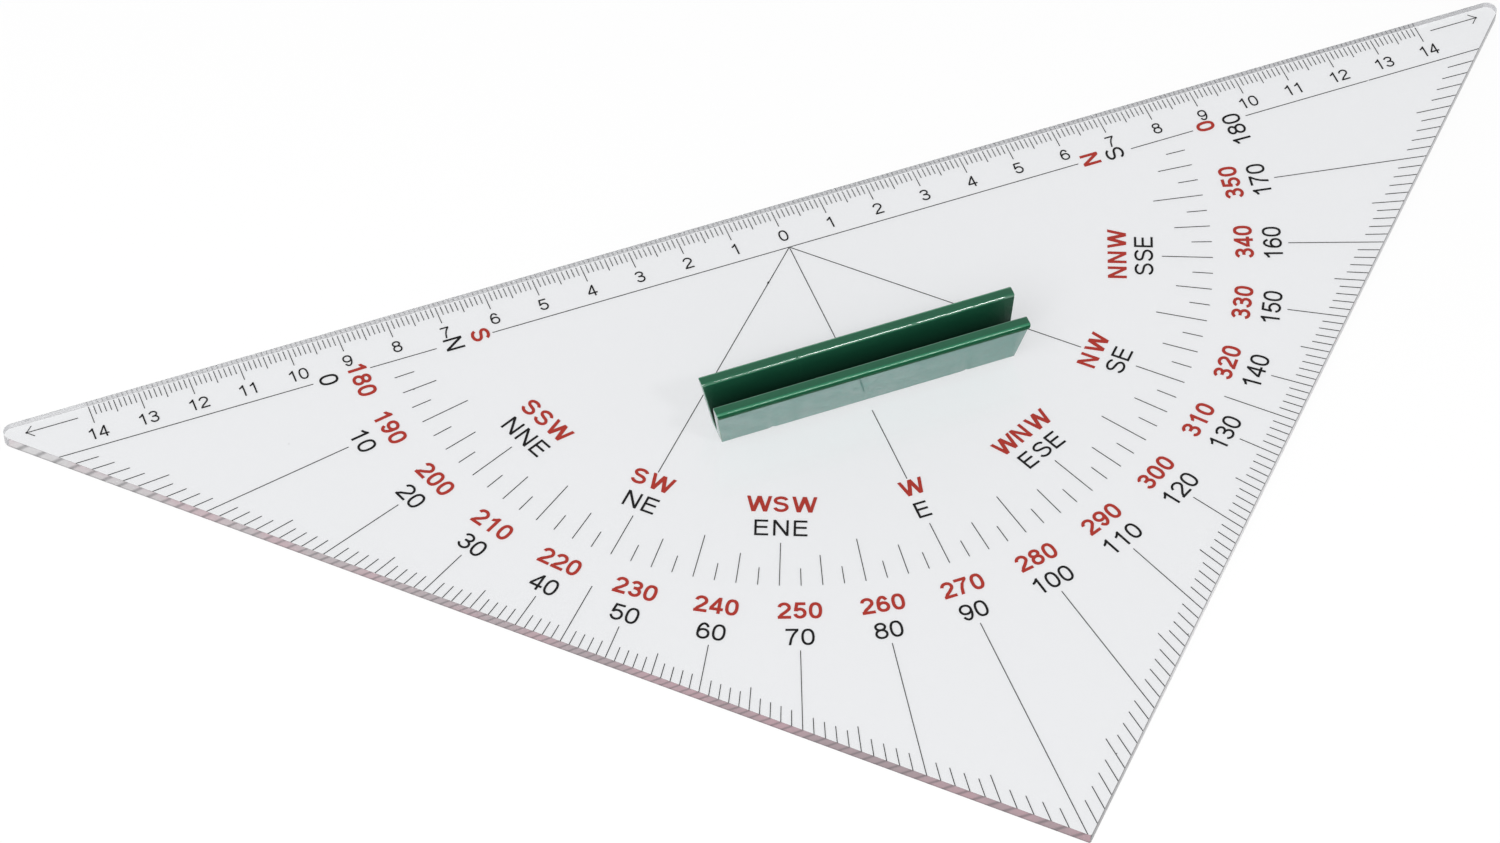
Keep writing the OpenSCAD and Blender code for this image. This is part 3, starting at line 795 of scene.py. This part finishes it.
def label(words, height, pen, origin, turn):
    """The films of a string centred on origin, with its feet there and its line turned by turn
    degrees. A sign's flat film is made once for each pen."""
    starts = [0]
    for sign in words[:-1]:
        starts.append(starts[-1] + letter_step.get(sign, digit_step))
    width = starts[-1] + letter_w.get(words[-1], digit_w)
    turn = math.radians(turn)
    films = []
    for sign, start in zip(words, starts):
        if (sign, pen) not in films_of_signs:
            films_of_signs[sign, pen] = joined(figure(sign, pen))
        corners, triangles = films_of_signs[sign, pen]
        flat = [((x + start - width / 2) * height, y * height) for x, y in corners]
        films.append(([(origin[0] + u * math.cos(turn) - v * math.sin(turn),
                        origin[1] + u * math.sin(turn) + v * math.cos(turn)) for u, v in flat],
                      triangles))
    return films


def ring_of_labels(name, words_at, height, r, pen, print_ink, node, slip=(0, 0)):
    """Labels at bearings on a ring, with their feet at radius r and their heads to the centre."""
    films = []
    for angle, words in words_at:
        x, y = polar(r, angle)
        films += label(words, height, pen, (x + slip[0], y + slip[1]), angle - 90)
    printed(name, films, print_ink, node)


films = []
for i in range(-cm_count, cm_count + 1):
    films += label(str(abs(i)), cm_high, pen_cm, (10 * i * mm, cm_foot_y), 0)
printed("centimetre_figures", films, black, "centimetre_numerals")

names = ["N", "NNE", "NE", "ENE", "E", "ESE", "SE", "SSE", "S"]
points = [(180 * i / (len(names) - 1), words) for i, words in enumerate(names)]
opposite = str.maketrans("NESW", "SWNE")
ring_of_labels("compass_letters_in_black", points,
               letter_high, black_letter_r, pen_thin, black, "compass_letters_black")
ring_of_labels("compass_letters_in_red", [(a, words.translate(opposite)) for a, words in points],
               letter_high, red_letter_r, pen_bold, red, "compass_letters_red", red_slip)
ring_of_labels("degree_figures_in_black",
               [(a - end_turn * (a == 180), str(a)) for a in range(0, 181, 10)],
               figure_high, black_figure_r, pen_thin, black, "degree_numerals_black")
ring_of_labels("degree_figures_in_red",
               [(a + end_turn * (a == 0), str((a + 180) % 360)) for a in range(0, 181, 10)],
               figure_high, red_figure_r, pen_bold, red, "degree_numerals_red", red_slip)


# The grip. A trough injection moulded in green polystyrene, with leaning walls and ends, a rim
# bead along the top and two pegs under its floor that are pushed into the sheet's holes.

foot_half = 2.75 * mm
grip_half = 30.1 * mm
grip_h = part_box("grip")[1].z - sheet_top
wall_t = 2.1 * mm
floor_t = 1.7 * mm
wall_turn = math.radians(11)
lean = math.tan(wall_turn)
end_lean = math.tan(math.radians(9.7))
bead_h = 1.6 * mm
bead_out = 0.4 * mm
neck = grip_h - bead_h
wall_in = foot_half - wall_t / math.cos(wall_turn)
front_radii = [r * mm for r in (0.3, 0.08, 0.12, 0.6, 0.4, 0.5)]
back_radii = [r * mm for r in (0.3, 0.08, 0.12, 0.6, 0.6, 0.5)]
end_round = 0.14 * mm
end_rings = [(0.0, 1.0), (0.3, 0.29), (1.0, 0.0)]  # how far in and how deep, in end_round
station_pitch = 0.75 * mm
station_count = 80
nick_x = -12.5 * mm
nick_half = 0.13 * mm
nick_deep = 0.12 * mm
rubbed_from = 9 * mm
rubbed_wave, moulded_wave = 0.05 * mm, 0.008 * mm
foot_nick_half = 0.4 * mm
foot_nick_deep = Vector((0.12, 0.16)) * mm
steep = 1.2  # rise over run from which the rim's bead counts as its side
peg_r = 1.5 * mm
peg_short = 0.3 * mm
peg_chamfer = 0.3 * mm
peg_sides = 40


def rounded(points, radii, steps=6):
    """A closed outline with its corners rounded, each to its own radius, as points and the number
    of the corner that each belongs to."""
    out = []
    for i, (here, r) in enumerate(zip(map(Vector, points), radii)):
        a = (Vector(points[i - 1]) - here).normalized()
        b = (Vector(points[(i + 1) % len(points)]) - here).normalized()
        half = a.angle(b) / 2
        centre = here + (a + b).normalized() * r / math.sin(half)
        start = here + a * r / math.tan(half) - centre
        end = here + b * r / math.tan(half) - centre
        sweep = math.atan2(start.x * end.y - start.y * end.x, start.dot(end))
        for k in range(steps + 1):
            t = sweep * k / steps
            spot = centre + Vector((start.x * math.cos(t) - start.y * math.sin(t),
                                    start.x * math.sin(t) + start.y * math.cos(t)))
            out.append((tuple(spot), i))
    return out


# The section's corners, from the foot of the back wall up, over the rim and down to the floor
half_section = [(foot_half, 0), (foot_half + neck * lean, neck),
                (foot_half + neck * lean + bead_out, neck + bead_out / 2),
                (foot_half + grip_h * lean + bead_out, grip_h), (wall_in + grip_h * lean, grip_h),
                (wall_in + floor_t * lean, floor_t)]
section = rounded(half_section + [(-y, z) for y, z in half_section[::-1]],
                  back_radii + front_radii[::-1])
count = len(section)
back_inner, front_inner, last_corner = 4, 7, 11


def into_wall(i, depth):
    """A point of the section, moved into the plastic."""
    here = Vector(section[i][0])
    along = Vector(section[(i + 1) % count][0]) - Vector(section[i - 1][0])
    return here + Vector((-along.y, along.x)).normalized() * depth


evenly = [(i - (station_count - 1) / 2) * station_pitch for i in range(station_count)]
across = sorted([x for x in evenly if abs(x - nick_x) > station_pitch / 2]
                + [nick_x + d * nick_half for d in (-1, 0, 1)])
stations = [(-1, end_round * d, end_round * o) for d, o in end_rings]
stations += [(0, x, 0) for x in across]
stations += [(1, -end_round * d, end_round * o) for d, o in end_rings[::-1]]
chance = random.Random(11)
maker = bmesh.new()
rings = []
for side, shift, depth in stations:
    foot_nick = side == 0 and abs(abs(shift) - peg_x) < foot_nick_half
    wave = Vector((chance.uniform(-1, 1), chance.uniform(-1.5, 0)))
    wave *= rubbed_wave if shift > rubbed_from and side == 0 else moulded_wave
    if shift == nick_x:
        wave = Vector((0, -nick_deep))
    loop = []
    for i in range(count):
        spot = into_wall(i, depth)
        if section[i][1] == back_inner:
            spot += wave
        if foot_nick and section[i][1] == last_corner:
            spot += foot_nick_deep
        x = side * (grip_half + spot.y * end_lean) + shift
        loop.append(maker.verts.new((x, spot.x + grip_y, spot.y + sheet_top)))
    rings.append(loop)
moulded, wall, trough, bead, rim_side, burnished = range(6)
for number, (left, right) in enumerate(zip(rings, rings[1:])):
    at_end = number < 2 or number > len(rings) - 4
    for i in range(count):
        j = (i + 1) % count
        face = maker.faces.new((left[i], right[i], right[j], left[j]))
        pair = {section[i][1], section[j][1]}
        step = Vector(section[j][0]) - Vector(section[i][0])
        if at_end or pair in ({back_inner}, {front_inner}):
            face.material_index = burnished
        elif pair in ({3}, {8}):
            face.material_index = rim_side if abs(step.y) > steep * abs(step.x) else bead
        elif pair in ({0, 1}, {10, 11}, {0}, {11}):
            face.material_index = wall
        elif pair <= {5, 6} or pair in ({4, 5}, {6, 7}):
            face.material_index = trough
        elif pair <= {1, 2, 3} or pair <= {8, 9, 10}:
            face.material_index = rim_side
        else:
            face.material_index = moulded
for cap in (rings[0], rings[-1]):
    for a, b, c in tessellate_polygon([[Vector((v.co.y, v.co.z, 0)) for v in cap]]):
        maker.faces.new((cap[a], cap[b], cap[c])).material_index = wall
bmesh.ops.recalc_face_normals(maker, faces=maker.faces)
grip_mesh = finished("green_grip", maker)

pegs = bmesh.new()
pegs.from_mesh(grip_mesh)
for x in (-peg_x, peg_x):
    levels = [(peg_r - peg_chamfer, peg_short), (peg_r, peg_short + peg_chamfer),
              (peg_r, sheet_top + floor_t / 2)]
    rings = [[pegs.verts.new((px, py, z)) for px, py in oval(x, grip_y, r, r, peg_sides)]
             for r, z in levels]
    pegs.faces.new(rings[0][::-1])
    pegs.faces.new(rings[-1])
    for lower, upper in zip(rings, rings[1:]):
        for i in range(peg_sides):
            j = (i + 1) % peg_sides
            pegs.faces.new((lower[i], lower[j], upper[j], upper[i]))
pegs.to_mesh(grip_mesh)
pegs.free()
grip_mesh.set_sharp_from_angle(angle=sharp_from)

# Polystyrene moulded in a polished tool: even green with faint flow marks along its length, under
# a glossy skin with a slight orange peel, about a millimetre from dimple to dimple.
flow_long = 8.3 * mm
flow_wide = 2 * mm
flow_dull = 0.12
dimple = 1.11 * mm
# The painted shade in the trough is full below the first of these heights and gone above the
# second
floor_shade_from = floor_t + 2.3 * mm
floor_shade_to = grip_h + 0.5 * mm
worn_patch = 2.38 * mm
polystyrene_ior = 1.5


def green_plastic(name, dark, light, shine, skin, specular=0.5, floor_shade=None, worn=None):
    """Moulded green polystyrene. Skin is the weight, the IOR and the roughness of its glossy skin.
    Where a colour for the floor is given, the colour goes down to it towards the trough's floor, a
    painted shade in its recess. Worn is how much of the skin is left at the right end, where the
    thumb rubs it in cloudy patches."""
    made = bpy.data.materials.new(name)
    tree = emptied(made)
    coat, coat_ior, coat_rough = skin
    place = add(tree, "ShaderNodeTexCoord").outputs["Object"]
    stretch = add(tree, "ShaderNodeMapping", {
        "Vector": place, "Scale": (1 / flow_long, 1 / flow_wide, 1 / flow_wide)})
    flow = add(tree, "ShaderNodeTexNoise", {"Vector": stretch, "Scale": 1.0, "Detail": 4.0})
    shade = add(tree, "ShaderNodeMix", {"Factor": flow, "A": colour(dark), "B": colour(light)},
                data_type="RGBA").outputs[2]
    # Painted shade: darker towards the trough's floor
    if floor_shade:
        height = add(tree, "ShaderNodeSeparateXYZ", [place]).outputs["Z"]
        up = add(tree, "ShaderNodeMapRange", {"Value": height, "From Min": sheet_top + floor_shade_from,
                                              "From Max": sheet_top + floor_shade_to})
        shade = add(tree, "ShaderNodeMix", {"Factor": up, "A": colour(floor_shade), "B": shade},
                    data_type="RGBA").outputs[2]
    rough = add(tree, "ShaderNodeMapRange", {"Value": flow, "To Min": shine,
                                             "To Max": shine + flow_dull})
    peel = add(tree, "ShaderNodeTexNoise", {"Vector": place, "Scale": 1 / dimple, "Detail": 2.0})
    relief = add(tree, "ShaderNodeBump", {"Height": peel, "Strength": 0.12,
                                          "Distance": 0.05 * mm})
    plastic = add(tree, "ShaderNodeBsdfPrincipled", {
        "Base Color": shade, "Roughness": rough, "IOR": polystyrene_ior, "Normal": relief,
        "Coat Weight": coat, "Coat IOR": coat_ior, "Coat Roughness": coat_rough,
        "Specular IOR Level": specular})
    if worn:
        along = add(tree, "ShaderNodeSeparateXYZ", [place]).outputs["X"]
        left = add(tree, "ShaderNodeMapRange", {"Value": along, "From Max": grip_half,
                                                "To Min": coat, "To Max": worn})
        cloud = add(tree, "ShaderNodeTexNoise", {"Vector": place, "Scale": 1 / worn_patch,
                                                 "Detail": 3.0})
        patch = add(tree, "ShaderNodeMapRange", {"Value": cloud, "From Min": 0.4, "From Max": 0.6,
                                                 "To Min": 0.8, "To Max": 1.02})
        kept = add(tree, "ShaderNodeMath", [left, patch], operation="MULTIPLY")
        tree.links.new(kept.outputs[0], plastic.inputs["Coat Weight"])
    add(tree, "ShaderNodeOutputMaterial", {"Surface": plastic})
    return made


# The moulded green is the plastic's own; the other parts are lit and shaded copies of it.
for material in (
        green_plastic("green polystyrene, moulded", "#165a3e", "#1b6647", 0.4, (1.0, 1.62, 0.06)),
        # A paler, bluer copy: partly a painted reflection of the sheet, on top of the glossy
        # skin's own reflection
        green_plastic("green polystyrene, polished wall, partly painted reflection", "#186e62", "#238072", 0.25,
                      (1.0, 2.35, 0.02), worn=0.72),
        # A darker copy: painted shade inside the trough, darker still towards its floor
        green_plastic("green polystyrene, inside, painted shade", "#0a4730", "#0e5138", 0.5, (0.25, 1.3, 0.3),
                      specular=0.3, floor_shade="#031d13"),
        # A lighter copy: a painted highlight on the bead's rounding, under the lamp's own
        # highlight
        green_plastic("green polystyrene, rim bead, painted highlight", "#277b56", "#2c855f", 0.35,
                      (1.0, 1.5, 0.18)),
        # A darker copy with little shine: painted shade on the bead's side
        green_plastic("green polystyrene, side of the rim, painted shade", "#0b4a2f", "#105537", 0.4,
                      (0.0, 1.5, 0.3), specular=0.1),
        green_plastic("green polystyrene, burnished inner edge", "#1b6647", "#227150", 0.3,
                      (1.0, 1.9, 0.05))):
    grip_mesh.materials.append(material)
new_piece("green_grip", grip_mesh, "grip", "green_plastic", "grip")
